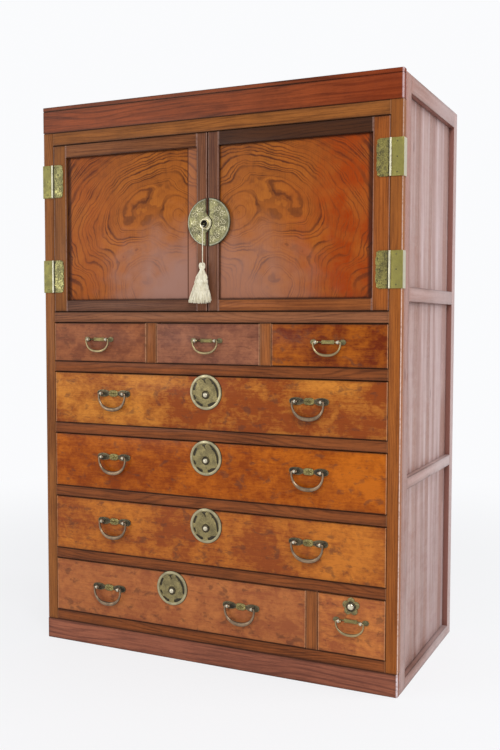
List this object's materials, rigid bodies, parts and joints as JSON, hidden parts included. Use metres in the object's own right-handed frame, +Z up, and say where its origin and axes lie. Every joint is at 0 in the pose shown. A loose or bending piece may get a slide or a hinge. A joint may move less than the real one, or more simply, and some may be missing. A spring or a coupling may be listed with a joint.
{
  "type": "chest of drawers",
  "caption": "Tall tansu-style wooden chest: a double-door compartment over small and wide drawers, with bail handles, round lock plates and strap hinges.",
  "frame": {"origin": "middle of the chest and its fittings in plan, on the floor it stands on", "axes": "+X to the right as seen from the front, +Y from the front to the back, +Z up"},
  "size_m": [0.9138, 0.4966, 1.32],
  "materials": {
    "drawer_wood": "orange-brown lacquered wood with fine grain",
    "rail_wood": "dark brown lacquered wood",
    "frieze_wood": "red-brown lacquered wood",
    "panel_wood": "figured reddish wood under clear lacquer",
    "side_wood": "worn greyish-pink wood",
    "inner_wood": "bare pale wood",
    "brass": "aged patinated brass",
    "bronze": "worn bronze-brown patina",
    "silk": "matte cream yarn"
  },
  "bodies": {
    "case": {"back_panel": "inner_wood", "bottom_board": "rail_wood", "bottom_divider": "rail_wood", "compartment_floor": "rail_wood", "door_head_rail": "rail_wood", "frieze_board": "frieze_wood", "left_door_lower_hinge_post_leaf": "brass", "left_door_upper_hinge_post_leaf": "brass", "left_side_frame": "side_wood", "left_side_panel": "side_wood", "lower_drawer_floor": "rail_wood", "middle_drawer_floor": "rail_wood", "plinth_board": "frieze_wood", "right_door_lower_hinge_post_leaf": "brass", "right_door_upper_hinge_post_leaf": "brass", "right_side_frame": "side_wood", "right_side_panel": "side_wood", "small_divider_left": "rail_wood", "small_divider_right": "rail_wood", "small_drawer_floor": "rail_wood", "top_board": "frieze_wood", "upper_drawer_floor": "rail_wood"},
    "left_door": {"left_door_frame": "rail_wood", "left_door_lock_plate": "brass", "left_door_lower_hinge_door_leaf": "brass", "left_door_panel": "panel_wood", "left_door_upper_hinge_door_leaf": "brass", "door_lock_boss": "brass"},
    "right_door": {"right_door_frame": "rail_wood", "right_door_lock_plate": "brass", "right_door_lower_hinge_door_leaf": "brass", "right_door_panel": "panel_wood", "right_door_upper_hinge_door_leaf": "brass"},
    "tassel": {"tassel_cord": "silk", "tassel": "silk"},
    "left_small_drawer": {"left_small_drawer": "drawer_wood"},
    "centre_small_drawer": {"centre_small_drawer": "drawer_wood"},
    "right_small_drawer": {"right_small_drawer": "drawer_wood"},
    "upper_drawer": {"upper_drawer": "drawer_wood"},
    "middle_drawer": {"middle_drawer": "drawer_wood"},
    "lower_drawer": {"lower_drawer": "drawer_wood"},
    "bottom_wide_drawer": {"bottom_wide_drawer": "drawer_wood"},
    "bottom_small_drawer": {"bottom_small_drawer": "drawer_wood"},
    "bottom_small_drawer_bail": {"bottom_small_drawer_bail": "bronze"},
    "bottom_wide_drawer_left_bail": {"bottom_wide_drawer_left_bail": "bronze"},
    "bottom_wide_drawer_right_bail": {"bottom_wide_drawer_right_bail": "bronze"},
    "centre_small_drawer_bail": {"centre_small_drawer_bail": "bronze"},
    "left_small_drawer_bail": {"left_small_drawer_bail": "bronze"},
    "lower_drawer_left_bail": {"lower_drawer_left_bail": "bronze"},
    "lower_drawer_right_bail": {"lower_drawer_right_bail": "bronze"},
    "middle_drawer_left_bail": {"middle_drawer_left_bail": "bronze"},
    "middle_drawer_right_bail": {"middle_drawer_right_bail": "bronze"},
    "right_small_drawer_bail": {"right_small_drawer_bail": "bronze"},
    "upper_drawer_left_bail": {"upper_drawer_left_bail": "bronze"},
    "upper_drawer_right_bail": {"upper_drawer_right_bail": "bronze"},
    "bottom_small_drawer_button": {"bottom_small_drawer_button": "bronze"},
    "bottom_wide_drawer_button": {"bottom_wide_drawer_button": "bronze"},
    "lower_drawer_button": {"lower_drawer_button": "bronze"},
    "middle_drawer_button": {"middle_drawer_button": "bronze"},
    "upper_drawer_button": {"upper_drawer_button": "bronze"}
  },
  "joints": [
    {"name": "left_door_hinge", "type": "hinge", "parent": "case", "child": "left_door", "pos_m": [-0.42838, -0.233, 1.02375], "axis": [0, 0, -1], "range_deg": [0, 175]},
    {"name": "right_door_hinge", "type": "hinge", "parent": "case", "child": "right_door", "pos_m": [0.42838, -0.233, 1.02375], "axis": [0, 0, 1], "range_deg": [0, 175]},
    {"name": "tassel_swing", "type": "hinge", "parent": "left_door", "child": "tassel", "pos_m": [-0.00688, -0.239, 1.01513], "axis": [0, 1, 0], "range_deg": [-25, 25]},
    {"name": "left_small_drawer_slide", "type": "slide", "parent": "case", "child": "left_small_drawer", "axis": [0, -1, 0], "range_m": [0, 0.34]},
    {"name": "centre_small_drawer_slide", "type": "slide", "parent": "case", "child": "centre_small_drawer", "axis": [0, -1, 0], "range_m": [0, 0.34]},
    {"name": "right_small_drawer_slide", "type": "slide", "parent": "case", "child": "right_small_drawer", "axis": [0, -1, 0], "range_m": [0, 0.34]},
    {"name": "upper_drawer_slide", "type": "slide", "parent": "case", "child": "upper_drawer", "axis": [0, -1, 0], "range_m": [0, 0.34]},
    {"name": "middle_drawer_slide", "type": "slide", "parent": "case", "child": "middle_drawer", "axis": [0, -1, 0], "range_m": [0, 0.34]},
    {"name": "lower_drawer_slide", "type": "slide", "parent": "case", "child": "lower_drawer", "axis": [0, -1, 0], "range_m": [0, 0.34]},
    {"name": "bottom_wide_drawer_slide", "type": "slide", "parent": "case", "child": "bottom_wide_drawer", "axis": [0, -1, 0], "range_m": [0, 0.34]},
    {"name": "bottom_small_drawer_slide", "type": "slide", "parent": "case", "child": "bottom_small_drawer", "axis": [0, -1, 0], "range_m": [0, 0.34]},
    {"name": "bottom_small_drawer_bail_pivot", "type": "hinge", "parent": "bottom_small_drawer", "child": "bottom_small_drawer_bail", "pos_m": [0.35002, -0.2404, 0.15206], "axis": [-1, 0, 0], "range_deg": [-5, 120]},
    {"name": "bottom_wide_drawer_left_bail_pivot", "type": "hinge", "parent": "bottom_wide_drawer", "child": "bottom_wide_drawer_left_bail", "pos_m": [-0.27106, -0.2404, 0.14902], "axis": [-1, 0, 0], "range_deg": [-5, 120]},
    {"name": "bottom_wide_drawer_right_bail_pivot", "type": "hinge", "parent": "bottom_wide_drawer", "child": "bottom_wide_drawer_right_bail", "pos_m": [0.08592, -0.2404, 0.14902], "axis": [-1, 0, 0], "range_deg": [-5, 120]},
    {"name": "centre_small_drawer_bail_pivot", "type": "hinge", "parent": "centre_small_drawer", "child": "centre_small_drawer_bail", "pos_m": [-0.0025, -0.2404, 0.75501], "axis": [-1, 0, 0], "range_deg": [-5, 120]},
    {"name": "left_small_drawer_bail_pivot", "type": "hinge", "parent": "left_small_drawer", "child": "left_small_drawer_bail", "pos_m": [-0.29563, -0.2404, 0.75501], "axis": [-1, 0, 0], "range_deg": [-5, 120]},
    {"name": "lower_drawer_left_bail_pivot", "type": "hinge", "parent": "lower_drawer", "child": "lower_drawer_left_bail", "pos_m": [-0.25509, -0.2404, 0.31352], "axis": [-1, 0, 0], "range_deg": [-5, 120]},
    {"name": "lower_drawer_right_bail_pivot", "type": "hinge", "parent": "lower_drawer", "child": "lower_drawer_right_bail", "pos_m": [0.24995, -0.2404, 0.31352], "axis": [-1, 0, 0], "range_deg": [-5, 120]},
    {"name": "middle_drawer_left_bail_pivot", "type": "hinge", "parent": "middle_drawer", "child": "middle_drawer_left_bail", "pos_m": [-0.25509, -0.2404, 0.47102], "axis": [-1, 0, 0], "range_deg": [-5, 120]},
    {"name": "middle_drawer_right_bail_pivot", "type": "hinge", "parent": "middle_drawer", "child": "middle_drawer_right_bail", "pos_m": [0.24995, -0.2404, 0.47102], "axis": [-1, 0, 0], "range_deg": [-5, 120]},
    {"name": "right_small_drawer_bail_pivot", "type": "hinge", "parent": "right_small_drawer", "child": "right_small_drawer_bail", "pos_m": [0.29313, -0.2404, 0.75501], "axis": [-1, 0, 0], "range_deg": [-5, 120]},
    {"name": "upper_drawer_left_bail_pivot", "type": "hinge", "parent": "upper_drawer", "child": "upper_drawer_left_bail", "pos_m": [-0.25509, -0.2404, 0.62516], "axis": [-1, 0, 0], "range_deg": [-5, 120]},
    {"name": "upper_drawer_right_bail_pivot", "type": "hinge", "parent": "upper_drawer", "child": "upper_drawer_right_bail", "pos_m": [0.24995, -0.2404, 0.62516], "axis": [-1, 0, 0], "range_deg": [-5, 120]},
    {"name": "bottom_small_drawer_button_press", "type": "slide", "parent": "bottom_small_drawer", "child": "bottom_small_drawer_button", "axis": [0, 1, 0], "range_m": [0, 0.0025], "stiffness_N_per_m": 400, "springref_m": -0.001},
    {"name": "bottom_wide_drawer_button_press", "type": "slide", "parent": "bottom_wide_drawer", "child": "bottom_wide_drawer_button", "axis": [0, 1, 0], "range_m": [0, 0.0025], "stiffness_N_per_m": 400, "springref_m": -0.001},
    {"name": "lower_drawer_button_press", "type": "slide", "parent": "lower_drawer", "child": "lower_drawer_button", "axis": [0, 1, 0], "range_m": [0, 0.0025], "stiffness_N_per_m": 400, "springref_m": -0.001},
    {"name": "middle_drawer_button_press", "type": "slide", "parent": "middle_drawer", "child": "middle_drawer_button", "axis": [0, 1, 0], "range_m": [0, 0.0025], "stiffness_N_per_m": 400, "springref_m": -0.001},
    {"name": "upper_drawer_button_press", "type": "slide", "parent": "upper_drawer", "child": "upper_drawer_button", "axis": [0, 1, 0], "range_m": [0, 0.0025], "stiffness_N_per_m": 400, "springref_m": -0.001}
  ]
}
